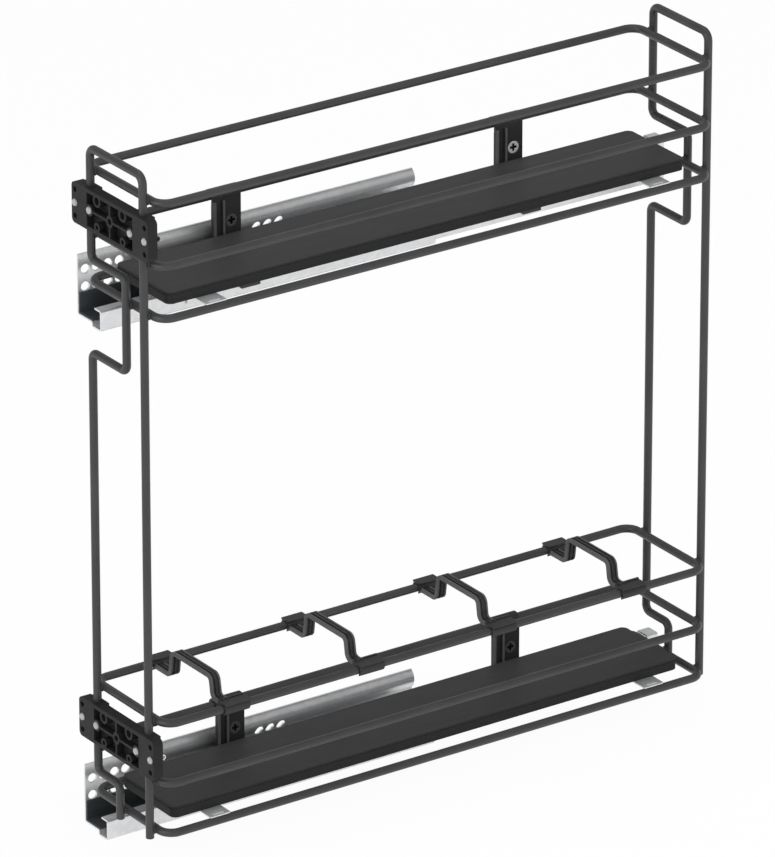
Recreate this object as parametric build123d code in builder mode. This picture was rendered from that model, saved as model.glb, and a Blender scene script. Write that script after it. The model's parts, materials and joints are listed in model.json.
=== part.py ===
"""Pull-out bottle rack for a narrow kitchen cabinet.

Millimetres. X = 0 is the cabinet wall, +X points across the rack, +Y into the cabinet, +Z up.
The origin is the centre of the lower cabinet rail's front group of fixing holes.
The rack is stored closed. It slides out towards -Y.
"""
from build123d import *
import os

os.makedirs("parts", exist_ok=True)

# Wire frame
wire_d = 6.0
weld_gap = 0.02
rack_depth = 475.0
rack_x = 59.2
leg_spacing = 65.3
rail_spacing = 90.9
ring_corner_r = 10.2
frame_top = 102.9
frame_corner_r = 6.4
jog_r = 5.2
leg_tail = 5.2
tier_pitch = 388.4
middle_ring_rise = 38.4
top_ring_rise = 84.4

# Side step of the far legs, which lets them pass round the two cabinet rails
upper_step_x = 10.3
upper_step_top = 20.6
upper_step_bottom = -48.7
lower_step_x = -5.0
lower_step_top = 20.9

# Shelf board
shelf_width = 66.6
shelf_end_gap = 19.3
shelf_thickness = 8.6
shelf_corner_r = 5.0
shelf_edge_r = 0.6
shelf_groove_drop = 1.6
shelf_groove = 0.9
shelf_groove_depth = 0.6
shelf_rise = 4.25
seat_gap = 0.02

# Sheet metal of the runners
sheet = 1.2
sheet_bend_r = 1.1
cabinet_rail_length = 280.0
cabinet_rail_setback = 5.0
cabinet_wall_top = 13.9
cabinet_base = -30.9
cabinet_step_x = 19.0
cabinet_step_drop = 3.2
cabinet_lip_x = 29.7
cabinet_lip_top = -18.7
cabinet_return_x = 21.7
bead_r = 8.4
bead_centre_x = -4.0
bead_rise = 6.7
bead_start = 45.0
hole_r = 3.25
hole_ease = 0.45
hole_pitch = 9.3
hole_row_gap = 13.0
hole_row_drop = 4.5
front_hole_count = 4
front_hole_setback = 6.0
rear_hole_count = 3
rear_hole_offset = 149.7

# Rollers and their running clearances
roller_d = 5.75
roller_length = 4.0
roller_gap = 0.075
cage_sheet = 1.0
cage_play = 0.15
cage_wall = 0.8
stem_gap = 0.3
side_play = 0.4
edge_play = 0.6

# Rack rail, which hangs over the lip of the cabinet rail
rack_rail_front = 70.0
rack_rail_end = 7.0
rack_rail_skirt_x = 31.7
rack_rail_skirt_bottom = -29.4
rack_rail_web_x = 19.2
rack_rail_top = 2.95
intermediate_inset = 40.0
travel = 400.0
wire_notch_play = 0.4

# Soft-close unit in the cabinet rail: a thin liner in front, the ribbed housing behind it
damper_width = 17.6
damper_height = 15.4
damper_length = 168.0
damper_setback = 0.6
damper_liner = 1.0
damper_liner_length = 62.0
damper_wall = 1.6
damper_rib_pitch = 14.0

# Hangers between the two lower rings of a tier, and the saddles they are screwed to
hanger_first = 116.5
hanger_pitch = 239.0
hanger_width = 23.5
hanger_plate = 2.0
hanger_rib_height = 2.6
hanger_rib_width = 1.8
hanger_rib_pitch = 7.2
hanger_hook = 1.7
hook_play = 0.3
saddle_sheet = 1.15
saddle_width = 18.6
saddle_shift = 8.2
saddle_top = 29.3
saddle_tab_x = 34.0
saddle_tab_bottom = -27.2
saddle_tab_cut = 3.0
screw_rise = 18.8
screw_shift = 3.8
screw_r = 1.9
screw_head_r = 4.6
screw_head_depth = 1.4
screw_cross_length = 5.8
screw_cross_width = 1.9
screw_cross_depth = 0.8
screw_length = 4.6

# Shelf clips on the near rail
clip_width = 17.0
clip_offset = 50.2
clip_inner_x = 24.0
clip_overhang = 0.8
clip_catch = 5.0
clip_catch_setback = 5.5
clip_catch_rise = 0.5

# Moulded bracket that carries the cabinet front
front_rise = 60.2
front_width = 94.6
front_height = 30.2
front_plate = 8.0
front_face = 6.0
front_edge_r = 2.0
front_top_r = 1.0
front_bottom_r = 3.5
leg_boss_width = 19.9
leg_boss_depth = 10.2
leg_bore_play = 0.05
pocket_width = 57.0
pocket_height = 24.6
pocket_floor = 2.0
pocket_rib = 1.6
boss_spacing_x = 32.0
boss_spacing_z = 19.4
upper_boss_r = 4.6
upper_boss_hole_r = 2.8
lower_boss_r = 3.4
lower_boss_hole_r = 1.75
middle_boss_r = 4.6
middle_boss_hole_r = 2.25
rivet_boss_r = 4.2
inner_rivet_spacing = 50.8
outer_rivet_spacing = 86.6
outer_hole_spacing = 86.4
outer_hole_r = 2.1
rivet_r = 2.0
rivet_head_r = 2.75
rivet_head = 1.0
rivet_length = 7.0
clamp_screw_r = 1.4
clamp_head_r = 2.0
clamp_head = 2.0
clamp_depth = 5.5
clamp_setback = 4.1

# Bottle dividers on the top ring of the lower tier
divider_count = 4
divider_first = 56.8
divider_last_gap = 77.4
divider_width = 7.8
divider_height = 3.2
divider_groove = 1.7
divider_groove_pitch = 3.4
divider_groove_depth = 0.9
divider_play = 0.3
divider_wall = 1.3
divider_mouth = 4.4
near_clip_length = 20.8
near_clip_shift = 6.2
far_clip_length = 17.4
far_clip_shift = 4.8
clip_top_width = 8.8
clip_ledge = 1.7
clip_ledge_gap = 0.5
hump_rise = 18.8
hump_bend_r = 4.5
hump_lean = 2.5
hump_far_x = -19.0
hump_near_x = 29.5
divider_far_foot = 0.0
divider_near_foot = 3.6

# Places worked out from the sizes above
wire_r = wire_d / 2
front_y = -(front_hole_count - 1) * hole_pitch / 2 - front_hole_setback - cabinet_rail_setback
back_y = front_y + rack_depth
lower_z = hole_row_drop
upper_z = lower_z + tier_pitch
tiers = {"upper": upper_z, "lower": lower_z}
far_rail_x = rack_x - rail_spacing / 2
near_rail_x = rack_x + rail_spacing / 2
ring_front_y = front_y + wire_d + weld_gap
ring_back_y = back_y - wire_d - weld_gap
cabinet_rail_front = front_y + cabinet_rail_setback
cabinet_rail_back = cabinet_rail_front + cabinet_rail_length
hanger_ys = [front_y + hanger_first + i * hanger_pitch for i in range(2)]
places = ("front", "rear")

# Roller rows: the lower rows run in the cabinet rail, the upper rows in the rack rail
roller_space = roller_d + 2 * roller_gap
trough_floor = cabinet_base - cabinet_step_drop + sheet
foot_rail_z = trough_floor + roller_space + sheet / 2
head_rail_z = rack_rail_top - sheet - roller_space - sheet / 2
rack_foot_z = head_rail_z - sheet / 2 - roller_space - sheet / 2
lower_stem_x = cabinet_return_x - edge_play - sheet / 2
lip_inner_x = cabinet_lip_x - sheet
web_inner_x = rack_rail_web_x + sheet
upper_stem_x = web_inner_x + side_play + cage_wall * 2 + roller_length + 2 * cage_play + side_play + sheet / 2
upper_stem_x = upper_stem_x + cage_wall
rack_foot_end = upper_stem_x - sheet / 2 - edge_play
cross_web_z = (cabinet_lip_top + rack_foot_z - sheet / 2) / 2


def save(piece, label):
    """Name a finished piece and write it."""
    piece.part.label = label
    export_step(piece.part, f"parts/{label}.step")


def at_y(y):
    """Plane across the rack at depth y, with X across and Z up; extrusions run towards -Y."""
    return Plane.XZ.offset(-y)


def bent_wire(plane, points, radii, closed=False):
    """Round bar bent along a polyline with one radius at each corner."""
    with BuildPart() as bar:
        with BuildLine(plane) as path:
            FilletPolyline(*points, radius=radii, close=closed)
        with BuildSketch(Plane(origin=path.line @ 0, z_dir=path.line % 0)):
            Circle(wire_r)
        sweep()
    return bar


def bent_sheet(y_front, y_back, points, bend_r, thickness):
    """Sheet section with rounded bends, extruded along the rack."""
    with BuildPart() as profile:
        with BuildSketch(at_y(y_back)):
            with BuildLine():
                FilletPolyline(*points, radius=bend_r)
            trace(line_width=thickness)
        extrude(amount=y_back - y_front)
    return profile


# Front and back frames: one bent wire each
near_leg_x = rack_x + leg_spacing / 2
far_leg_x = rack_x - leg_spacing / 2
frame_points = [
    (near_leg_x, lower_z - leg_tail),
    (near_leg_x, upper_z + frame_top),
    (far_leg_x, upper_z + frame_top),
    (far_leg_x, upper_z + upper_step_top),
    (rack_x + upper_step_x, upper_z + upper_step_top),
    (rack_x + upper_step_x, upper_z + upper_step_bottom),
    (far_leg_x, upper_z + upper_step_bottom),
    (far_leg_x, lower_z + lower_step_top),
    (rack_x + lower_step_x, lower_z + lower_step_top),
    (rack_x + lower_step_x, lower_z - leg_tail),
]
frame_radii = [frame_corner_r] * 2 + [jog_r] * 6
for label, y in (("front_frame", front_y), ("back_frame", back_y)):
    save(bent_wire(at_y(y), frame_points, frame_radii), label)

# Three closed rings in each tier
ring_rises = {"top": top_ring_rise, "middle": middle_ring_rise, "shelf": 0.0}
ring_points = [
    (near_rail_x, ring_front_y),
    (near_rail_x, ring_back_y),
    (far_rail_x, ring_back_y),
    (far_rail_x, ring_front_y),
]
for tier, z in tiers.items():
    for level, rise in ring_rises.items():
        ring = bent_wire(Plane.XY.offset(z + rise), ring_points, ring_corner_r, closed=True)
        save(ring, f"{tier}_{level}_ring")

# Shelf boards
for tier, z in tiers.items():
    with BuildPart() as shelf:
        with BuildSketch(Plane.XY.offset(z + shelf_rise + seat_gap)):
            with Locations((rack_x, front_y + rack_depth / 2)):
                RectangleRounded(shelf_width, rack_depth - 2 * shelf_end_gap, shelf_corner_r)
        extrude(amount=shelf_thickness)
        fillet(shelf.faces().sort_by(Axis.Z)[-1].edges(), shelf_edge_r)
        groove_top = z + shelf_rise + seat_gap + shelf_thickness - shelf_groove_drop
        with BuildSketch(Plane.XY.offset(groove_top)):
            with Locations((rack_x, front_y + rack_depth / 2)):
                Rectangle(shelf_width + 2, rack_depth)
                RectangleRounded(
                    shelf_width - 2 * shelf_groove_depth,
                    rack_depth - 2 * shelf_end_gap - 2 * shelf_groove_depth,
                    shelf_corner_r - shelf_groove_depth,
                    mode=Mode.SUBTRACT,
                )
        extrude(amount=-shelf_groove, mode=Mode.SUBTRACT)
    save(shelf, f"{tier}_shelf")


def cabinet_rail(z):
    """Fixed rail: tall wall with a bead and fixing holes, stepped base, lip and return."""
    wall_x = sheet / 2
    step_x = cabinet_step_x - sheet / 2
    lip_x = cabinet_lip_x - sheet / 2
    base_z = z + cabinet_base + sheet / 2
    section = [
        (wall_x, z + cabinet_wall_top),
        (wall_x, base_z),
        (step_x, base_z),
        (step_x, base_z - cabinet_step_drop),
        (lip_x, base_z - cabinet_step_drop),
        (lip_x, z + cabinet_lip_top - sheet / 2),
        (cabinet_return_x, z + cabinet_lip_top - sheet / 2),
    ]
    bead_y = cabinet_rail_front + bead_start
    bead_length = cabinet_rail_back - bead_y
    row_ys = [i * hole_pitch for i in range(rear_hole_count)]
    first_rear_y = rear_hole_offset - hole_pitch - (front_hole_count - 1) * hole_pitch / 2
    with BuildPart() as rail:
        with BuildSketch(at_y(cabinet_rail_back)):
            with BuildLine():
                FilletPolyline(*section, radius=sheet_bend_r)
            trace(line_width=sheet)
        extrude(amount=cabinet_rail_length)
        for radius, mode in ((bead_r, Mode.ADD), (bead_r - sheet, Mode.SUBTRACT)):
            with BuildSketch(at_y(cabinet_rail_back)):
                with Locations((bead_centre_x, z + bead_rise)):
                    Circle(radius)
            extrude(amount=bead_length, mode=mode)
            with Locations((bead_centre_x, bead_y, z + bead_rise)):
                Sphere(radius, mode=mode)
        with BuildSketch(at_y(cabinet_rail_back)):
            with Locations((0, z)):
                Rectangle(4 * bead_r, 4 * cabinet_lip_x, align=(Align.MAX, Align.CENTER))
        extrude(amount=cabinet_rail_length, mode=Mode.SUBTRACT)
        with BuildSketch(Plane.YZ):
            with Locations((0, z - hole_row_drop)):
                with GridLocations(hole_pitch, hole_row_gap, front_hole_count, 2):
                    Circle(hole_r)
            upper_row_z = z - hole_row_drop + hole_row_gap / 2
            with Locations(*[(first_rear_y + y, upper_row_z) for y in row_ys]):
                Circle(hole_r)
        extrude(amount=bead_r, mode=Mode.SUBTRACT)
        rims = rail.edges().filter_by(GeomType.CIRCLE).filter_by_position(Axis.X, sheet - hole_ease / 9, sheet + hole_ease / 9)
        chamfer(rims.filter_by(lambda rim: abs(rim.radius - hole_r) < hole_ease / 9), hole_ease)
    return rail


for tier, z in tiers.items():
    save(cabinet_rail(z), f"{tier}_cabinet_rail")

# Intermediate rails: foot flange in the cabinet rail, head flange in the rack rail
intermediate_front = cabinet_rail_front + intermediate_inset
buffer_length = 4.0
intermediate_back = cabinet_rail_back - buffer_length - seat_gap
foot_flange_end = lip_inner_x - side_play - cage_wall - side_play
head_flange_end = web_inner_x + side_play + cage_wall + side_play
for tier, z in tiers.items():
    section = [
        (foot_flange_end, z + foot_rail_z),
        (lower_stem_x, z + foot_rail_z),
        (lower_stem_x, z + cross_web_z),
        (upper_stem_x, z + cross_web_z),
        (upper_stem_x, z + head_rail_z),
        (head_flange_end, z + head_rail_z),
    ]
    middle = bent_sheet(intermediate_front, intermediate_back, section, sheet_bend_r, sheet)
    save(middle, f"{tier}_intermediate_rail")

# Rack rails: top plate, long near skirt, far web with a foot under the rollers, and a notch
# that lets the shelf ring's end wire pass
rack_rail_y = front_y + cabinet_rail_setback + rack_rail_front
notch_depth = ring_corner_r / 2
notch_back = wire_r + wire_notch_play
for tier, z in tiers.items():
    section = [
        (rack_foot_end, z + rack_foot_z),
        (rack_rail_web_x + sheet / 2, z + rack_foot_z),
        (rack_rail_web_x + sheet / 2, z + rack_rail_top - sheet / 2),
        (rack_rail_skirt_x - sheet / 2, z + rack_rail_top - sheet / 2),
        (rack_rail_skirt_x - sheet / 2, z + rack_rail_skirt_bottom),
    ]
    channel = bent_sheet(rack_rail_y, back_y + rack_rail_end, section, sheet_bend_r, sheet)
    with BuildPart() as rail:
        add(channel.part)
        with Locations((rack_rail_web_x - sheet, ring_back_y + notch_back, z - notch_back)):
            Box(
                rack_rail_skirt_x - rack_rail_web_x + 2 * sheet,
                notch_depth + notch_back,
                2 * notch_back,
                align=(Align.MIN, Align.MAX, Align.MIN),
                mode=Mode.SUBTRACT,
            )
    save(rail, f"{tier}_rack_rail")


def roller_cage(z, rows, x_strip, x_roller, y_front, length, count):
    """Two pocketed strips joined along one edge, and the rollers that lie in them."""
    pitch = length / count
    x_far = x_roller - roller_length / 2 - cage_play - cage_wall
    x_near = x_roller + roller_length / 2 + cage_play + cage_wall
    low_x = min(x_far, x_strip)
    high_x = max(x_near, x_strip + cage_wall)
    low_z = z + min(rows) - cage_sheet / 2
    high_z = z + max(rows) + cage_sheet / 2
    spots = [(x_roller, y_front + pitch * (i + 0.5), z + row) for row in rows for i in range(count)]
    with BuildPart() as cage:
        for row in rows:
            with Locations((low_x, y_front, z + row)):
                Box(high_x - low_x, length, cage_sheet, align=(Align.MIN, Align.MIN, Align.CENTER))
        with Locations((x_strip, y_front, low_z)):
            Box(cage_wall, length, high_z - low_z, align=(Align.MIN, Align.MIN, Align.MIN))
        with Locations(*spots):
            Box(roller_length + 2 * cage_play, roller_d + 2 * cage_play, 2 * cage_sheet, mode=Mode.SUBTRACT)
    with BuildPart() as rollers:
        with Locations(*spots):
            Cylinder(roller_d / 2, roller_length, rotation=(0, 90, 0))
    return cage, rollers


# The lower cages move a quarter of the rack's travel, the upper cages three quarters
lower_rows = (foot_rail_z - sheet / 2 - roller_space / 2, foot_rail_z + sheet / 2 + roller_space / 2)
upper_rows = (head_rail_z - sheet / 2 - roller_space / 2, head_rail_z + sheet / 2 + roller_space / 2)
lower_strip_x = lip_inner_x - side_play - cage_wall
upper_strip_x = web_inner_x + side_play
lower_roller_x = lower_stem_x + sheet / 2 + stem_gap + cage_wall + cage_play + roller_length / 2
upper_roller_x = upper_stem_x - sheet / 2 - stem_gap - cage_wall - cage_play - roller_length / 2
cage_margin = 2.0
lower_cage_y = cabinet_rail_front + travel / 4 + cage_margin
lower_cage_length = cabinet_rail_back - travel / 2 - cabinet_rail_front - buffer_length - 2 * cage_margin
upper_cage_y = intermediate_front + travel / 4 + cage_margin
upper_cage_length = intermediate_back - upper_cage_y - cage_margin
for tier, z in tiers.items():
    cages = {
        "lower_cage": (lower_rows, lower_strip_x, lower_roller_x, lower_cage_y, lower_cage_length, 4),
        "upper_cage": (upper_rows, upper_strip_x, upper_roller_x, upper_cage_y, upper_cage_length, 5),
    }
    for name, sizes in cages.items():
        cage, rollers = roller_cage(z, *sizes)
        save(cage, f"{tier}_runner_{name}")
        save(rollers, f"{tier}_runner_{name}_rollers")

# Buffers in the rear end of the cabinet rails
for tier, z in tiers.items():
    with BuildPart() as buffer:
        with BuildSketch(at_y(cabinet_rail_back)):
            with Locations((cabinet_step_x + seat_gap, z + trough_floor + seat_gap)):
                Rectangle(
                    lip_inner_x - cabinet_step_x - 2 * seat_gap,
                    cabinet_lip_top - sheet - trough_floor - 2 * seat_gap,
                    align=(Align.MIN, Align.MIN),
                )
        extrude(amount=buffer_length)
        fillet(buffer.edges().filter_by(Axis.Y), cage_wall)
    save(buffer, f"{tier}_rear_buffer")

# Soft-close units beside the lower rollers
for tier, z in tiers.items():
    damper_y = cabinet_rail_front + damper_setback
    damper_x = sheet + seat_gap
    damper_z = z + cabinet_base + sheet + seat_gap
    housing_length = damper_length - damper_liner_length
    housing_y = damper_y + damper_liner_length
    rib_count = int(housing_length / damper_rib_pitch)
    corner = (Align.MIN, Align.MIN, Align.MIN)
    with BuildPart() as damper:
        with Locations((damper_x, damper_y, damper_z)):
            Box(damper_width, damper_length, damper_height, align=corner)
        fillet(damper.edges().filter_by(Axis.Y).group_by(Axis.Z)[0], sheet_bend_r)
        with Locations((damper_x + damper_liner, damper_y, damper_z + damper_liner)):
            Box(damper_width, damper_liner_length, damper_height, align=corner, mode=Mode.SUBTRACT)
        with Locations((damper_x + damper_width / 2, housing_y + housing_length / 2, damper_z + damper_height)):
            with GridLocations(0, damper_rib_pitch, 1, rib_count):
                Box(
                    damper_width - 4 * damper_wall,
                    damper_rib_pitch - damper_wall,
                    2 * damper_wall,
                    mode=Mode.SUBTRACT,
                )
        with Locations((damper_x + damper_width / 2, housing_y, damper_z + damper_height / 2)):
            Cylinder(3 * damper_wall, 4 * damper_wall, rotation=(90, 0, 0), mode=Mode.SUBTRACT)
            Cylinder(damper_wall, 6 * damper_wall, rotation=(90, 0, 0))
    save(damper, f"{tier}_soft_close_unit")

hanger_x = far_rail_x + wire_r + seat_gap * 5
saddle_arm_z = shelf_rise - saddle_sheet / 2
saddle_upright_x = hanger_x - seat_gap - saddle_sheet / 2
ring_hook_r = wire_r + hook_play


def hanger(y, z):
    """Upright with two ribs that stands on the saddle and hooks over the middle ring's rail."""
    y_front = y - hanger_width / 2
    foot_z = z + shelf_rise + sheet_bend_r / 2
    hook_z = z + middle_ring_rise
    corner = (Align.MIN, Align.MIN, Align.MIN)
    with BuildPart() as body:
        with Locations((hanger_x, y_front, foot_z)):
            Box(hanger_plate, hanger_width, hook_z - foot_z, align=corner)
        for rib_y in (y_front, y_front + hanger_rib_pitch):
            with Locations((hanger_x, rib_y, foot_z)):
                Box(hanger_plate + hanger_rib_height, hanger_rib_width, hook_z - wire_r - foot_z, align=corner)
        fillet(body.edges().filter_by(Axis.Z).group_by(Axis.X)[-1], hanger_rib_width / 3)
        with BuildSketch(at_y(y + hanger_width / 2)):
            with Locations((far_rail_x, hook_z)):
                Circle(ring_hook_r + hanger_hook)
                Rectangle(4 * wire_r, 4 * wire_r, align=(Align.MAX, Align.MAX), mode=Mode.SUBTRACT)
        extrude(amount=hanger_width)
        with BuildSketch(at_y(y + hanger_width / 2)):
            with Locations((far_rail_x, hook_z)):
                Circle(ring_hook_r)
                Rectangle(ring_hook_r, 2 * wire_r, align=(Align.MIN, Align.MAX))
                Rectangle(ring_hook_r, 2 * wire_r, align=(Align.MAX, Align.MAX))
        extrude(amount=hanger_width, mode=Mode.SUBTRACT)
        with Locations(Plane((hanger_x + hanger_plate, y + screw_shift, z + screw_rise), z_dir=(1, 0, 0))):
            CounterSinkHole(screw_r + cage_play, screw_head_r + cage_play, depth=hanger_plate)
    return body


def hanger_screw(y, z):
    """Countersunk cross-head screw through hanger and saddle."""
    head_x = hanger_x + hanger_plate
    centre_z = z + screw_rise
    with BuildPart() as screw:
        with BuildSketch(at_y(y + screw_shift)):
            with BuildLine():
                Polyline(
                    (head_x, centre_z),
                    (head_x, centre_z + screw_head_r),
                    (head_x - screw_head_depth, centre_z + screw_r),
                    (head_x - screw_length, centre_z + screw_r),
                    (head_x - screw_length, centre_z),
                    close=True,
                )
            make_face()
        revolve(axis=Axis((0, y + screw_shift, centre_z), (1, 0, 0)))
        with Locations((head_x, y + screw_shift, centre_z)):
            Box(2 * screw_cross_depth, screw_cross_length, screw_cross_width, mode=Mode.SUBTRACT)
            Box(2 * screw_cross_depth, screw_cross_width, screw_cross_length, mode=Mode.SUBTRACT)
    return screw


def saddle(y, z):
    """Bent strap: upright behind the hanger, arm over the rack rail, tab outside its skirt."""
    tab_x = saddle_tab_x - saddle_sheet / 2
    y_front = y + saddle_shift - saddle_width / 2
    section = [
        (saddle_upright_x, z + saddle_top),
        (saddle_upright_x, z + saddle_arm_z),
        (tab_x, z + saddle_arm_z),
        (tab_x, z + saddle_tab_bottom),
    ]
    strap = bent_sheet(y_front, y_front + saddle_width, section, sheet_bend_r, saddle_sheet)
    with BuildPart() as body:
        add(strap.part)
        with BuildSketch(Plane.YZ.offset(saddle_upright_x - saddle_sheet)):
            with Locations((y + screw_shift, z + screw_rise)):
                Circle(screw_r + cage_play)
        extrude(amount=2 * saddle_sheet, mode=Mode.SUBTRACT)
        with Locations((saddle_upright_x, y + hanger_width / 2 - saddle_sheet, z + shelf_rise + sheet_bend_r)):
            Box(
                2 * saddle_sheet,
                saddle_width,
                saddle_top,
                align=(Align.CENTER, Align.MIN, Align.MIN),
                mode=Mode.SUBTRACT,
            )
        front_corner = body.edges().filter_by(Axis.X).group_by(Axis.Z)[0].sort_by(Axis.Y)[0]
        chamfer(front_corner, saddle_tab_cut)
    return body


for tier, z in tiers.items():
    for place, y in zip(places, hanger_ys):
        save(hanger(y, z), f"{tier}_{place}_hanger")
        save(hanger_screw(y, z), f"{tier}_{place}_hanger_screw")
        save(saddle(y, z), f"{tier}_{place}_saddle")

# Shelf clips: plates under the shelf that end on top of the near rail, with a pressed catch
clip_sheet = shelf_rise - ring_hook_r
for tier, z in tiers.items():
    for place, side in zip(places, (-1, 1)):
        clip_y = front_y + rack_depth / 2 + side * (rack_depth / 2 - clip_offset)
        plate_z = z + shelf_rise - clip_sheet
        clip_length = near_rail_x + clip_overhang - rack_x - clip_inner_x
        with BuildPart() as clip:
            with BuildSketch(Plane.XY.offset(plate_z)):
                with Locations((rack_x + clip_inner_x, clip_y)):
                    Rectangle(clip_length, clip_width, align=(Align.MIN, Align.CENTER))
                with Locations((near_rail_x - clip_catch_setback, clip_y)):
                    SlotOverall(clip_catch, 2 * clip_sheet, rotation=90, mode=Mode.SUBTRACT)
            extrude(amount=clip_sheet)
            fillet(clip.edges().filter_by(Axis.Z).group_by(Axis.X)[-1], clip_sheet)
            with Locations((near_rail_x - clip_catch_setback + 2 * clip_sheet, clip_y, z + shelf_rise)):
                Cylinder(clip_catch / 2, clip_width / 2, arc_size=180, rotation=(90, 0, 0))
            with Locations((near_rail_x, clip_y, z)):
                Box(4 * clip_width, 2 * clip_width, 2 * ring_hook_r, mode=Mode.SUBTRACT)
            top = z + shelf_rise + clip_catch_rise
            with Locations((near_rail_x, clip_y, top)):
                Box(
                    4 * clip_width,
                    2 * clip_width,
                    clip_width,
                    align=(Align.CENTER, Align.CENTER, Align.MIN),
                    mode=Mode.SUBTRACT,
                )
        save(clip, f"{tier}_{place}_shelf_clip")


def front_bracket(z):
    """Moulded bracket: ribbed front plate and two bosses bored for the frame's legs."""
    mid_z = z + front_rise
    face_y = front_y - front_face
    low_z = mid_z - front_height / 2
    legs = [(near_leg_x, front_y), (far_leg_x, front_y)]
    boss_y = face_y + leg_boss_depth / 2
    half_x = boss_spacing_x / 2
    half_z = boss_spacing_z / 2
    upper_bosses = ((-half_x, half_z), (half_x, half_z))
    lower_bosses = ((-half_x, -half_z), (half_x, -half_z))
    with BuildPart() as bracket:
        with BuildSketch(at_y(face_y + front_plate)):
            with Locations((rack_x, mid_z)):
                plate = Rectangle(front_width, front_height)
            fillet(plate.vertices().group_by(Axis.Z)[0], front_bottom_r)
            fillet(plate.vertices().group_by(Axis.Z)[-1], front_top_r)
        extrude(amount=front_plate)
        with BuildSketch(Plane.XY.offset(low_z)):
            with Locations((near_leg_x, boss_y), (far_leg_x, boss_y)):
                Rectangle(leg_boss_width, leg_boss_depth)
        extrude(amount=front_height)
        fillet(bracket.edges().filter_by(Axis.Z).group_by(Axis.Y)[-1], front_edge_r)
        with BuildSketch(at_y(face_y)):
            with Locations((rack_x, mid_z)):
                Rectangle(pocket_width, pocket_height)
                with Locations(*upper_bosses):
                    Circle(upper_boss_r, mode=Mode.SUBTRACT)
                with Locations(*lower_bosses):
                    Circle(lower_boss_r, mode=Mode.SUBTRACT)
                with GridLocations(inner_rivet_spacing, 0, 2, 1):
                    Circle(rivet_boss_r, mode=Mode.SUBTRACT)
                RegularPolygon(middle_boss_r, 6, mode=Mode.SUBTRACT)
                Rectangle(pocket_width, pocket_rib, mode=Mode.SUBTRACT)
                Rectangle(pocket_rib, pocket_height, mode=Mode.SUBTRACT)
        extrude(amount=-(front_plate - pocket_floor), mode=Mode.SUBTRACT)
        with BuildSketch(at_y(face_y)):
            with Locations((rack_x, mid_z)):
                with Locations(*upper_bosses):
                    Circle(upper_boss_hole_r)
                with Locations(*lower_bosses):
                    Circle(lower_boss_hole_r)
                Circle(middle_boss_hole_r)
                with GridLocations(outer_hole_spacing, boss_spacing_z, 2, 2):
                    Circle(outer_hole_r)
                with GridLocations(inner_rivet_spacing, 0, 2, 1):
                    Circle(rivet_r + seat_gap)
                with GridLocations(outer_rivet_spacing, 0, 2, 1):
                    Circle(rivet_r + seat_gap)
        extrude(amount=-front_plate, mode=Mode.SUBTRACT)
        with BuildSketch(Plane.XY.offset(low_z)):
            with Locations(*legs):
                Circle(wire_r + leg_bore_play)
        extrude(amount=front_height, mode=Mode.SUBTRACT)
        for side in (-1, 1):
            boss_side_x = rack_x + side * (leg_spacing + leg_boss_width) / 2
            with BuildSketch(Plane.YZ.offset(boss_side_x)):
                with Locations((front_y + clamp_setback, mid_z)):
                    Circle(clamp_screw_r + seat_gap)
            extrude(amount=-side * clamp_depth, mode=Mode.SUBTRACT)
    return bracket


for tier, z in tiers.items():
    mid_z = z + front_rise
    face_y = front_y - front_face
    save(front_bracket(z), f"{tier}_front_bracket")
    with BuildPart() as rivets:
        with BuildSketch(at_y(face_y)):
            with Locations((rack_x, mid_z)):
                for spacing in (inner_rivet_spacing, outer_rivet_spacing):
                    with GridLocations(spacing, 0, 2, 1):
                        Circle(rivet_r)
        extrude(amount=-rivet_length)
        with BuildSketch(at_y(face_y)):
            with Locations((rack_x, mid_z)):
                for spacing in (inner_rivet_spacing, outer_rivet_spacing):
                    with GridLocations(spacing, 0, 2, 1):
                        Circle(rivet_head_r)
        extrude(amount=rivet_head, taper=25)
    save(rivets, f"{tier}_bracket_rivets")
    with BuildPart() as clamps:
        for side in (-1, 1):
            boss_side_x = rack_x + side * (leg_spacing + leg_boss_width) / 2
            with BuildSketch(Plane.YZ.offset(boss_side_x)):
                with Locations((front_y + clamp_setback, mid_z)):
                    Circle(clamp_screw_r)
            extrude(amount=-side * clamp_depth)
            with BuildSketch(Plane.YZ.offset(boss_side_x)):
                with Locations((front_y + clamp_setback, mid_z)):
                    Circle(clamp_head_r)
                    RegularPolygon(clamp_screw_r, 6, mode=Mode.SUBTRACT)
            extrude(amount=side * clamp_head)
    save(clamps, f"{tier}_bracket_clamp_screws")


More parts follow.
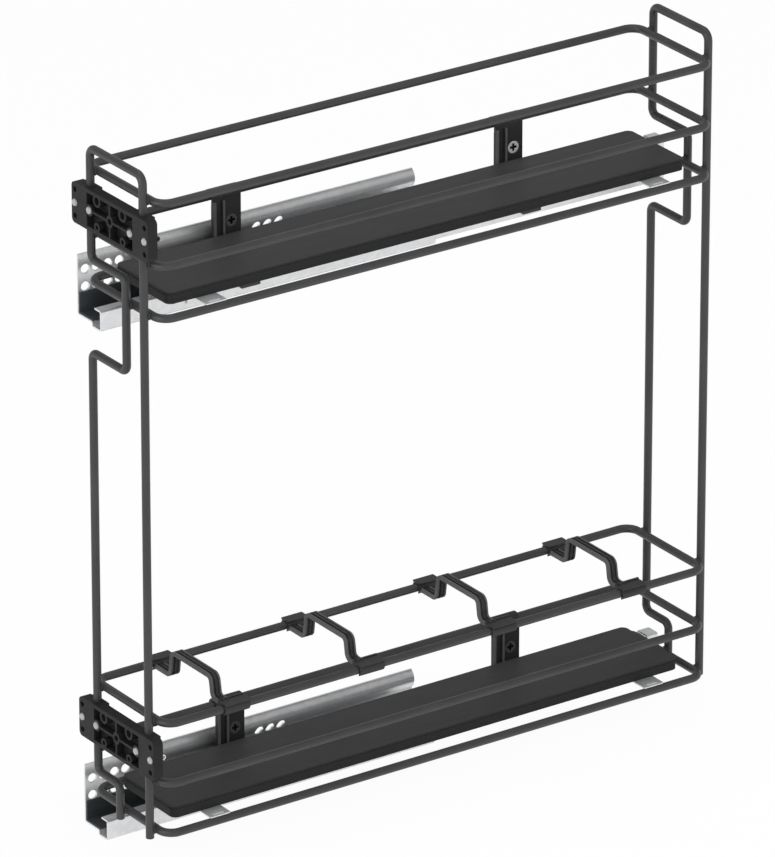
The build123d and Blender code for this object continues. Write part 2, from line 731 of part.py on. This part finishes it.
def divider(y, z):
    """Moulded hump of grooved section between two clips that slide on the ring's rails."""
    bore_r = wire_r + divider_play
    shell_r = bore_r + divider_wall
    ledge_x = near_rail_x - shell_r - clip_ledge_gap - clip_ledge
    route = [
        (far_rail_x + bore_r + divider_wall / 2, z + divider_far_foot),
        (rack_x + hump_far_x - hump_lean, z + divider_far_foot),
        (rack_x + hump_far_x, z + hump_rise),
        (rack_x + hump_near_x, z + hump_rise),
        (rack_x + hump_near_x + hump_lean, z + divider_near_foot),
        (near_rail_x - bore_r, z + divider_near_foot),
    ]
    clips = (
        (far_rail_x, y + far_clip_shift, far_clip_length),
        (near_rail_x, y + near_clip_shift, near_clip_length),
    )
    with BuildPart() as bar:
        with BuildLine(at_y(y)) as path:
            FilletPolyline(*route, radius=hump_bend_r)
        with BuildSketch(Plane(origin=path.line @ 0, x_dir=(0, 1, 0), z_dir=path.line % 0)):
            Rectangle(divider_width, divider_height)
            with GridLocations(divider_groove_pitch, divider_height, 2, 2):
                Rectangle(divider_groove, 2 * divider_groove_depth, mode=Mode.SUBTRACT)
        sweep()
        for x, clip_y, length in clips:
            with BuildSketch(at_y(clip_y + length / 2)):
                with Locations((x, z)):
                    Circle(shell_r)
                with Locations((x, z + bore_r)):
                    Rectangle(clip_top_width, divider_wall, align=(Align.CENTER, Align.MIN))
            extrude(amount=length)
        for x, clip_y, length in clips:
            with BuildSketch(at_y(clip_y + length / 2)):
                with Locations((x, z)):
                    Circle(bore_r)
                    Rectangle(divider_mouth, 2 * shell_r, align=(Align.CENTER, Align.MAX))
            extrude(amount=length, mode=Mode.SUBTRACT)
        with Locations((ledge_x, y - divider_width / 2, z + divider_near_foot)):
            Box(
                clip_ledge,
                near_clip_length,
                divider_height,
                align=(Align.MIN, Align.MIN, Align.CENTER),
            )
    return bar


divider_z = lower_z + top_ring_rise
divider_pitch = (rack_depth - divider_first - divider_last_gap) / (divider_count - 1)
for number in range(divider_count):
    divider_y = front_y + divider_first + number * divider_pitch
    save(divider(divider_y, divider_z), f"divider_{number + 1}")
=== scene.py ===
import bpy
import bmesh
import json
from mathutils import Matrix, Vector, noise


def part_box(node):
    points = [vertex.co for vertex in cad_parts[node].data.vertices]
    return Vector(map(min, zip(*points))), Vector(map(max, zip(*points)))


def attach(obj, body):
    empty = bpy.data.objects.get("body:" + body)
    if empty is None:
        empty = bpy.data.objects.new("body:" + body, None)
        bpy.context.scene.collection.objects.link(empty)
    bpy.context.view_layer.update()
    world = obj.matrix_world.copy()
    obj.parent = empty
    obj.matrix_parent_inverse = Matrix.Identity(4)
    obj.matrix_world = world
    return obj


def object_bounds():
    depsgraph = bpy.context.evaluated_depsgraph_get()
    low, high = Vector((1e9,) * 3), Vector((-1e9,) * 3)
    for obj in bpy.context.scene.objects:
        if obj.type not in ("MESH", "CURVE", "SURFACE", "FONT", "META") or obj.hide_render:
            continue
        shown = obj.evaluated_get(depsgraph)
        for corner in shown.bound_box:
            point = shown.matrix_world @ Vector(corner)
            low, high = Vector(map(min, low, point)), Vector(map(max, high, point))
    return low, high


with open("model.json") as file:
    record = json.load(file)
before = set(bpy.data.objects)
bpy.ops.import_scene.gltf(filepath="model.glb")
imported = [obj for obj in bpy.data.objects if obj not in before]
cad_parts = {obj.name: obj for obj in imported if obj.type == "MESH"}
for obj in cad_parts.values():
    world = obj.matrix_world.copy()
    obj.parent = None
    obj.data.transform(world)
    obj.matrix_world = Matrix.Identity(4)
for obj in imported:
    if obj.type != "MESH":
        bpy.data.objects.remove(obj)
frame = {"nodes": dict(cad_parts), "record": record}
cad_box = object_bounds()
nodes = frame["nodes"]

# Places on the wires and bars, from the frame and the real sizes
MM = 0.001
WIRE_R = 3.0 * MM
WELD_GAP = 0.02 * MM
RINGS = ("shelf_ring", "middle_ring", "top_ring")
STEPPED_LEG = {"upper": 10.3 * MM, "lower": -5.0 * MM}
BAR_COUNT = 4
BAR_FROM_CLIP_END = 4.2 * MM


def middle(node, axis):
    """Middle of a node's box along axis 0, 1 or 2."""
    low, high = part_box(node)
    return (low[axis] + high[axis]) / 2


RACK_X = middle("front_frame", 0)
FRONT_Y = middle("front_frame", 1)
BACK_Y = middle("back_frame", 1)
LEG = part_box("front_frame")[1][0] - RACK_X - WIRE_R
HEAD_FACE_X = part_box("upper_front_hanger_screw")[1][0]
FIRST_BAR_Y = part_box("divider_1")[0][1] + BAR_FROM_CLIP_END
BAR_PITCH = (middle(f"divider_{BAR_COUNT}", 1) - middle("divider_1", 1)) / (BAR_COUNT - 1)

# Sockets of a Mix node, which share their names: colours, then plain numbers
MIX_FACTOR, MIX_A, MIX_B, MIX_RESULT = 0, 6, 7, 2
NUMBER_A, NUMBER_B, NUMBER_RESULT = 2, 3, 0


def calc(tree, operation, *terms):
    """Result of a Math node on sockets or plain numbers."""
    made = tree.nodes.new("ShaderNodeMath")
    made.operation = operation
    for socket, term in zip(made.inputs, terms):
        if hasattr(term, "links"):
            tree.links.new(term, socket)
        else:
            socket.default_value = term
    return made.outputs[0]


# Materials
NOISE_ROUGHNESS = 0.55


class Graph:
    """A new material, and short calls that add nodes to it."""

    def __init__(self, name, base, rough, metallic=0.0):
        self.mat = bpy.data.materials.new(name)
        self.mat.use_nodes = True
        self.tree = self.mat.node_tree
        self.bsdf = self.tree.nodes["Principled BSDF"]
        self.bsdf.inputs["Base Color"].default_value = (*base, 1.0)
        self.bsdf.inputs["Roughness"].default_value = rough
        self.bsdf.inputs["Metallic"].default_value = metallic
        self.coords = self.tree.nodes.new("ShaderNodeTexCoord").outputs["Object"]
        self.rounded = None
        self.finish = None

    def node(self, kind, **settings):
        """A new node with some of its settings."""
        made = self.tree.nodes.new(kind)
        for key, value in settings.items():
            setattr(made, key, value)
        return made

    def link(self, a, b):
        self.tree.links.new(a, b)

    def stretch(self, scale):
        """Place in the part, stretched along the axes."""
        mapping = self.node("ShaderNodeMapping")
        mapping.inputs["Scale"].default_value = scale
        self.link(self.coords, mapping.inputs["Vector"])
        return mapping.outputs["Vector"]

    def noise(self, scale, detail, vector=None):
        """Soft random pattern from 0 to 1."""
        made = self.node("ShaderNodeTexNoise")
        made.inputs["Scale"].default_value = scale
        made.inputs["Detail"].default_value = detail
        made.inputs["Roughness"].default_value = NOISE_ROUGHNESS
        self.link(vector or self.coords, made.inputs["Vector"])
        return made.outputs["Fac"]

    def cells(self, scale, output, vector=None):
        """Pattern of random cells: their Color, or the Distance to their middles."""
        made = self.node("ShaderNodeTexVoronoi")
        made.inputs["Scale"].default_value = scale
        self.link(vector or self.coords, made.inputs["Vector"])
        return made.outputs[output]

    def spread(self, value, low, high, to_low, to_high):
        """The value, moved from one range to another."""
        made = self.node("ShaderNodeMapRange")
        made.inputs["From Min"].default_value = low
        made.inputs["From Max"].default_value = high
        made.inputs["To Min"].default_value = to_low
        made.inputs["To Max"].default_value = to_high
        self.link(value, made.inputs["Value"])
        return made.outputs["Result"]

    def ramp(self, value, stops):
        """Colour for a value, between stops of a value and a colour."""
        made = self.node("ShaderNodeValToRGB")
        while len(made.color_ramp.elements) < len(stops):
            made.color_ramp.elements.new(0.5)
        for element, (place, colour) in zip(made.color_ramp.elements, stops):
            element.position = place
            element.color = (*colour, 1.0)
        self.link(value, made.inputs["Fac"])
        return made.outputs["Color"]

    def blend(self, a, b, factor):
        """Mix of two colours, plain ones or sockets, by a factor that is a socket."""
        made = self.node("ShaderNodeMix", data_type="RGBA")
        self.link(factor, made.inputs[MIX_FACTOR])
        for socket, value in ((MIX_A, a), (MIX_B, b)):
            if hasattr(value, "links"):
                self.link(value, made.inputs[socket])
            else:
                made.inputs[socket].default_value = (*value, 1.0)
        return made.outputs[MIX_RESULT]

    def edge_wear_and_highlight(self, toned, worn, radius=0.3 * MM, most=0.6):
        """Sharp edges get soft normals, and in patches a paler colour: worn finish, and on mouldings also
        painted highlight.
        """
        soft = self.node("ShaderNodeBevel", samples=4)
        soft.inputs["Radius"].default_value = radius
        self.rounded = soft.outputs["Normal"]
        turn = self.node("ShaderNodeVectorMath", operation="DOT_PRODUCT")
        self.link(self.rounded, turn.inputs[0])
        self.link(self.node("ShaderNodeNewGeometry").outputs["Normal"], turn.inputs[1])
        patchy = self.spread(self.noise(260.0, 3.0), 0.35, 0.65, 0.25 * most, most)
        edge = self.spread(turn.outputs["Value"], 0.95, 0.8, 0.0, 1.0)
        return self.blend(toned, worn, calc(self.tree, "MULTIPLY", edge, patchy))

    def bump(self, layers):
        """Layers of height, strength and distance, on top of the soft edge normals."""
        last = self.rounded
        for height, strength, distance in layers:
            made = self.node("ShaderNodeBump")
            made.inputs["Strength"].default_value = strength
            made.inputs["Distance"].default_value = distance
            self.link(height, made.inputs["Height"])
            if last:
                self.link(last, made.inputs["Normal"])
            last = made.outputs["Normal"]
        self.link(last, self.bsdf.inputs["Normal"])

    def colour(self, socket):
        self.finish = socket
        self.link(socket, self.bsdf.inputs["Base Color"])

    def paint(self, mask, plain):
        """Where the mask is 1, a plain colour lies over the finish."""
        self.colour(self.blend(self.finish, plain, mask))

    def place(self):
        """Sockets with a point's X, Y and Z in the part's frame at rest."""
        split = self.node("ShaderNodeSeparateXYZ")
        self.link(self.coords, split.inputs["Vector"])
        return split.outputs

    def roughness(self, socket):
        self.link(socket, self.bsdf.inputs["Roughness"])


def shade(colour, k):
    """The colour, k times as bright."""
    return tuple(c * k for c in colour)


def powder_coat(name, base, rough, gloss=0.34, worn=True):
    """Satin powder coat: fine orange peel, a faint cloud in the tone, paler on worn spots."""
    g = Graph(name, base, rough)
    cloud = g.noise(24.0, 4.0)
    peel = g.noise(900.0, 2.0)
    speck = g.noise(3600.0, 1.0)
    toned = g.ramp(cloud, [(0.3, shade(base, 0.86)), (0.7, shade(base, 1.16))])
    dusted = g.blend(toned, shade(base, 1.5), g.spread(speck, 0.62, 0.8, 0.0, 0.35))
    g.colour(g.edge_wear_and_highlight(dusted, shade(base, 2.0)) if worn else dusted)
    g.roughness(g.spread(peel, 0.3, 0.7, rough - 0.06, rough + 0.08))
    g.bump([(peel, 0.16, 0.0004), (speck, 0.1, 0.0001)])
    g.bsdf.inputs["Specular IOR Level"].default_value = gloss
    return g


def moulding(name, base, rough, gloss=0.3):
    """Moulded plastic: eroded grain, slight flow marks, paler edges that are partly worn and partly painted
    highlight.
    """
    g = Graph(name, base, rough)
    grain = g.cells(2600.0, "Distance")
    flow = g.noise(60.0, 5.0, g.stretch((1.0, 0.35, 1.6)))
    fine = g.noise(1500.0, 3.0)
    toned = g.ramp(flow, [(0.3, shade(base, 0.8)), (0.72, shade(base, 1.2))])
    # Edges 3.4 times paler: partly wear, partly painted highlight
    g.colour(g.edge_wear_and_highlight(toned, shade(base, 3.4), 0.4 * MM, 0.9))
    g.roughness(g.spread(fine, 0.3, 0.7, rough - 0.08, rough + 0.1))
    g.bump([(grain, 0.12, 0.0002), (fine, 0.1, 0.0002)])
    g.bsdf.inputs["Specular IOR Level"].default_value = gloss
    return g


def board(name, base, side_shade):
    """Laminated shelf: fine pearl grain with a faint long figure, and painted shade on the faces that don't
    face up.
    """
    g = Graph(name, base, 0.5)
    pearl = g.cells(1500.0, "Distance")
    figure = g.noise(40.0, 5.0, g.stretch((6.0, 0.6, 6.0)))
    fine = g.noise(2400.0, 2.0)
    toned = g.ramp(figure, [(0.35, shade(base, 0.93)), (0.65, shade(base, 1.07))])
    # Painted shade: faces turned away from up take the darker side colour
    level = g.node("ShaderNodeSeparateXYZ")
    g.link(g.node("ShaderNodeNewGeometry").outputs["True Normal"], level.inputs["Vector"])
    flat = g.spread(level.outputs["Z"], 0.3, 0.8, 0.0, 1.0)
    side_shaded = g.blend(side_shade, toned, flat)
    grained = g.blend(side_shaded, shade(base, 1.35), g.spread(fine, 0.6, 0.8, 0.0, 0.3))
    g.colour(g.edge_wear_and_highlight(grained, shade(base, 1.7), 0.4 * MM))
    g.roughness(g.spread(fine, 0.3, 0.7, 0.42, 0.56))
    g.bump([(pearl, 0.1, 0.0002)])
    g.bsdf.inputs["Specular IOR Level"].default_value = 0.2
    return g


def galvanised(name, base, rough):
    """Zinc-coated sheet: soft spangle, rolling lines along the rail, a dull bloom in places."""
    g = Graph(name, base, rough, metallic=0.74)
    spangle = g.cells(310.0, "Color", g.stretch((1.0, 0.8, 1.0)))
    tone = g.node("ShaderNodeSeparateColor")
    g.link(spangle, tone.inputs["Color"])
    rolled = g.noise(420.0, 3.0, g.stretch((1.0, 0.03, 1.0)))
    bloom = g.noise(32.0, 4.0)
    flakes = g.ramp(tone.outputs["Red"], [(0.1, shade(base, 0.96)), (0.9, shade(base, 1.04))])
    dulled = g.blend(flakes, shade(base, 0.88), g.spread(bloom, 0.5, 0.75, 0.0, 0.45))
    g.colour(g.edge_wear_and_highlight(dulled, shade(base, 1.1), 0.25 * MM))
    g.roughness(g.spread(rolled, 0.3, 0.7, rough - 0.04, rough + 0.05))
    g.bump([(rolled, 0.035, 0.0001), (tone.outputs["Green"], 0.012, 0.0001)])
    return g


def bright_metal(name, base, rough):
    """Plated fastener: turned rings are too fine to see, so only scuffs and a soft haze."""
    g = Graph(name, base, rough, metallic=0.6)
    haze = g.noise(500.0, 4.0)
    scuff = g.noise(1600.0, 2.0, g.stretch((1.0, 3.0, 0.4)))
    hazed = g.ramp(haze, [(0.3, shade(base, 0.86)), (0.7, shade(base, 1.06))])
    g.colour(g.edge_wear_and_highlight(hazed, shade(base, 1.2), 0.2 * MM))
    g.roughness(g.spread(scuff, 0.3, 0.7, rough - 0.08, rough + 0.12))
    g.bump([(scuff, 0.12, 0.0002)])
    return g


# Plain colours over a finish: painted shade and painted highlights
# Near black painted into the hanger screws' cross recesses as painted shade
RECESS_SHADE_BLACK = (0.0015, 0.0015, 0.0015)
# Paler grey painted on the hanger ribs and divider rims as painted highlight
PAINTED_HIGHLIGHT_GREY = (0.085, 0.085, 0.0865)
RECESS_BELOW_FACE = 0.8 * MM
RECESS_HALF_DEPTH = 0.62 * MM
RIB_FOOT = 0.8 * MM
RIB_TOP = 2.2 * MM
BAR_HALF_LENGTH = 39.5 * MM
RIM_FROM_MIDDLE = 3.25 * MM
RIM_HALF_WIDTH = 0.7 * MM


def painted_recess_shade(g):
    """Painted shade: the cross recess of a hanger's screw is painted near black; other fasteners, at Y < 0,
    keep their finish.
    """
    place = g.place()
    below_face = calc(g.tree, "COMPARE", place["X"], HEAD_FACE_X - RECESS_BELOW_FACE, RECESS_HALF_DEPTH)
    on_hanger = calc(g.tree, "GREATER_THAN", place["Y"], 0.0)
    g.paint(calc(g.tree, "MULTIPLY", below_face, on_hanger), RECESS_SHADE_BLACK)
    return g


def painted_rib_highlight(g):
    """Painted highlight: the ribs of a hanger, which stand out of its plate, are painted a paler grey."""
    rib = g.spread(g.place()["X"], HEAD_FACE_X + RIB_FOOT, HEAD_FACE_X + RIB_TOP, 0.0, 1.0)
    g.paint(rib, PAINTED_HIGHLIGHT_GREY)
    return g


def painted_rim_highlight(g):
    """Painted highlight: the outer rims of the dividers' grooved bars are painted a paler grey."""
    place = g.place()
    from_first = calc(g.tree, "SUBTRACT", place["Y"], FIRST_BAR_Y)
    from_middle = calc(g.tree, "PINGPONG", from_first, BAR_PITCH / 2)
    rim = calc(g.tree, "COMPARE", from_middle, RIM_FROM_MIDDLE, RIM_HALF_WIDTH)
    between_clips = calc(g.tree, "COMPARE", place["X"], RACK_X, BAR_HALF_LENGTH)
    g.paint(calc(g.tree, "MULTIPLY", rim, between_clips), PAINTED_HIGHLIGHT_GREY)
    return g


# One finish for each slot, and for the nodes that differ from their slot
screw_steel = bright_metal("plated_steel", (0.86, 0.86, 0.86), 0.44)
black_screw_coat = powder_coat("black_screw_coat", (0.06, 0.06, 0.062), 0.34, 0.24)
divider_plastic = moulding("divider_moulding", (0.025, 0.025, 0.0255), 0.42)
hanger_plastic = moulding("hanger_moulding", (0.022, 0.022, 0.0225), 0.46)
finishes = {
    "black_wire": powder_coat("wire_powder_coat", (0.037, 0.037, 0.0385), 0.4, 0.46, worn=False),
    "black_sheet": powder_coat("sheet_powder_coat", (0.04, 0.04, 0.0415), 0.42),
    "black_board": board("shelf_laminate", (0.040, 0.040, 0.041), (0.021, 0.021, 0.0215)),
    "black_moulding": moulding("bracket_moulding", (0.0195, 0.0195, 0.020), 0.5, 0.14),
    "divider_moulding": painted_rim_highlight(divider_plastic),
    "zinc_sheet": galvanised("galvanised_sheet", (0.79, 0.80, 0.81), 0.32),
    "bright_steel": painted_recess_shade(screw_steel),
    "black_screw": painted_recess_shade(black_screw_coat),
    "roller_white": moulding("roller_plastic", (0.7, 0.7, 0.66), 0.4, 0.5),
}
finish_of_ending = {
    "_hanger": painted_rib_highlight(hanger_plastic),
    "_rivets": bright_metal("rivet_steel", (0.5, 0.5, 0.5), 0.46),
    "_soft_close_unit": moulding("rail_unit_moulding", (0.046, 0.053, 0.058), 0.46),
}
finish_of_ending["_rear_buffer"] = finish_of_ending["_soft_close_unit"]
slot_of = {subpart["node"]: subpart["material_slot"] for subpart in frame["record"]["subparts"]}
for name, obj in nodes.items():
    finish = finishes[slot_of[name]]
    for ending, special in finish_of_ending.items():
        if name.endswith(ending):
            finish = special
    obj.data.materials.clear()
    obj.data.materials.append(finish.mat)


# Pieces on top of the solids: weld beads, with half sizes in millimetres
WELD_REACH = 2.5
WELD_DEPTH = 1.5
WELD_SQUEEZE = 0.55
WELD_UNEVEN = 0.1
WELD_LUMP_SCALE = 2.3


def piece(name, bm, slot, body):
    """A smooth piece of the scene, in a slot's finish, on a body of the frame."""
    mesh = bpy.data.meshes.new(name)
    bm.to_mesh(mesh)
    bm.free()
    for polygon in mesh.polygons:
        polygon.use_smooth = True
    obj = bpy.data.objects.new(name, mesh)
    bpy.context.scene.collection.objects.link(obj)
    obj.data.materials.append(finishes[slot].mat)
    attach(obj, body)


def weld(bm, centre, seed):
    """Resistance weld of a standing and a lying wire: the squeezed metal between the two."""
    made = bmesh.ops.create_icosphere(bm, subdivisions=3, radius=1.0)
    for vert in made["verts"]:
        d = vert.co.copy()
        reach = WELD_REACH * (1.0 + WELD_SQUEEZE * abs(d.x * d.z))
        swell = 1.0 + WELD_UNEVEN * noise.noise(d * WELD_LUMP_SCALE + Vector((seed, 0.0, 0.0)))
        vert.co = Vector((d.x * reach, d.y * WELD_DEPTH, d.z * reach)) * swell * MM + centre


weld_count = 0
for tier, stepped_leg in STEPPED_LEG.items():
    touch = WIRE_R + WELD_GAP / 2
    for end, weld_y in (("front", FRONT_Y + touch), ("back", BACK_Y - touch)):
        bm = bmesh.new()
        for ring in RINGS:
            far_leg = stepped_leg if ring == "shelf_ring" else -LEG
            for leg in (LEG, far_leg):
                weld_count += 1
                weld(bm, Vector((RACK_X + leg, weld_y, middle(f"{tier}_{ring}", 2))), weld_count)
        piece(f"{tier}_{end}_welds", bm, "black_wire", "rack")


# Floor, light and camera
FLOOR_SIZE = 40.0
FLOOR_MIDDLE = (0.06, 0.2)
FLOOR_DROP = 0.5 * MM
FLOOR_GLOW = 0.96
AMBIENT = 0.5
HORIZON_HEIGHTS = (-0.02, 0.22)
HORIZON_STRENGTH = 0.85
CEILING_STRENGTH = 0.38
LAMP_AIM = (0.06, 0.21, 0.23)
PHOTO_WIDTH = 775
FOCAL_PIXELS = 9170.6
SENSOR_WIDTH = 36.0
CAMERA_PLACE = (4.91468, -3.15390, 2.81096)
TOWARDS_CAMERA = (0.754547, -0.520997, 0.399025)


def lit_backdrop(tree):
    """1 for camera, glossy and transmission rays, 0 for the rays that light the object."""
    rays = tree.nodes.new("ShaderNodeLightPath").outputs
    seen = calc(tree, "MAXIMUM", rays["Is Camera Ray"], rays["Is Glossy Ray"])
    return calc(tree, "MAXIMUM", seen, rays["Is Transmission Ray"])


def white_floor():
    """Pale floor just under the part, which takes a faint shadow and otherwise shows white."""
    place = (*FLOOR_MIDDLE, cad_box[0][2] - FLOOR_DROP)
    bpy.ops.mesh.primitive_plane_add(size=FLOOR_SIZE, location=place)
    floor = bpy.context.object
    floor.name = "floor"
    mat = bpy.data.materials.new("floor_white")
    mat.use_nodes = True
    tree = mat.node_tree
    paint = tree.nodes["Principled BSDF"]
    paint.inputs["Base Color"].default_value = (0.82, 0.82, 0.82, 1.0)
    paint.inputs["Roughness"].default_value = 0.9
    paint.inputs["Specular IOR Level"].default_value = 0.0
    glow = tree.nodes.new("ShaderNodeEmission")
    glow.inputs["Color"].default_value = (1.0, 1.0, 1.0, 1.0)
    glow.inputs["Strength"].default_value = 1.0
    mix = tree.nodes.new("ShaderNodeMixShader")
    tree.links.new(calc(tree, "MULTIPLY", lit_backdrop(tree), FLOOR_GLOW), mix.inputs["Fac"])
    tree.links.new(paint.outputs["BSDF"], mix.inputs[1])
    tree.links.new(glow.outputs["Emission"], mix.inputs[2])
    tree.links.new(mix.outputs["Shader"], tree.nodes["Material Output"].inputs["Surface"])
    floor.data.materials.append(mat)


def studio_world():
    """White to the camera, grey towards the ceiling in reflections, and a plain light on the part."""
    world = bpy.data.worlds.new("studio")
    bpy.context.scene.world = world
    world.use_nodes = True
    tree = world.node_tree
    background = tree.nodes["Background"]
    background.inputs["Color"].default_value = (1.0, 1.0, 1.0, 1.0)
    height = tree.nodes.new("ShaderNodeSeparateXYZ")
    tree.links.new(tree.nodes.new("ShaderNodeTexCoord").outputs["Generated"], height.inputs["Vector"])
    ceiling = tree.nodes.new("ShaderNodeMapRange")
    ceiling.inputs["From Min"].default_value = HORIZON_HEIGHTS[0]
    ceiling.inputs["From Max"].default_value = HORIZON_HEIGHTS[1]
    ceiling.inputs["To Min"].default_value = HORIZON_STRENGTH
    ceiling.inputs["To Max"].default_value = CEILING_STRENGTH
    tree.links.new(height.outputs["Z"], ceiling.inputs["Value"])
    shown = tree.nodes.new("ShaderNodeMix")
    shown.inputs[NUMBER_A].default_value = 1.0
    tree.links.new(tree.nodes.new("ShaderNodeLightPath").outputs["Is Glossy Ray"], shown.inputs[MIX_FACTOR])
    tree.links.new(ceiling.outputs["Result"], shown.inputs[NUMBER_B])
    strength = tree.nodes.new("ShaderNodeMix")
    strength.inputs[NUMBER_A].default_value = AMBIENT
    tree.links.new(lit_backdrop(tree), strength.inputs[MIX_FACTOR])
    tree.links.new(shown.outputs[NUMBER_RESULT], strength.inputs[NUMBER_B])
    tree.links.new(strength.outputs[NUMBER_RESULT], background.inputs["Strength"])


def lamp(name, place, size, power, in_gloss=True):
    """A soft rectangle of light that faces the part."""
    light = bpy.data.lights.new(name, "AREA")
    light.shape = "RECTANGLE"
    light.size, light.size_y = size
    light.energy = power
    obj = bpy.data.objects.new(name, light)
    bpy.context.scene.collection.objects.link(obj)
    obj.location = place
    obj.rotation_euler = (Vector(LAMP_AIM) - Vector(place)).to_track_quat("-Z", "Y").to_euler()
    obj.visible_glossy = in_gloss


def photo_camera():
    """The lens and viewpoint of the photograph."""
    data = bpy.data.cameras.new("camera")
    data.sensor_fit = "HORIZONTAL"
    data.sensor_width = SENSOR_WIDTH
    data.lens = FOCAL_PIXELS / PHOTO_WIDTH * SENSOR_WIDTH
    data.clip_end = 60.0
    camera = bpy.data.objects.new("camera", data)
    bpy.context.scene.collection.objects.link(camera)
    camera.location = CAMERA_PLACE
    camera.rotation_euler = (-Vector(TOWARDS_CAMERA)).to_track_quat("-Z", "Y").to_euler()
    bpy.context.scene.camera = camera


white_floor()
studio_world()
lamp("key_light", (1.9, 0.2, 2.3), (2.6, 2.6), 52.0, in_gloss=False)
lamp("front_light", (0.5, -2.6, 1.1), (2.2, 2.0), 29.0)
lamp("top_light", (-0.6, 0.3, 2.8), (1.8, 1.8), 9.0)
photo_camera()
bpy.context.scene.view_settings.view_transform = "Standard"
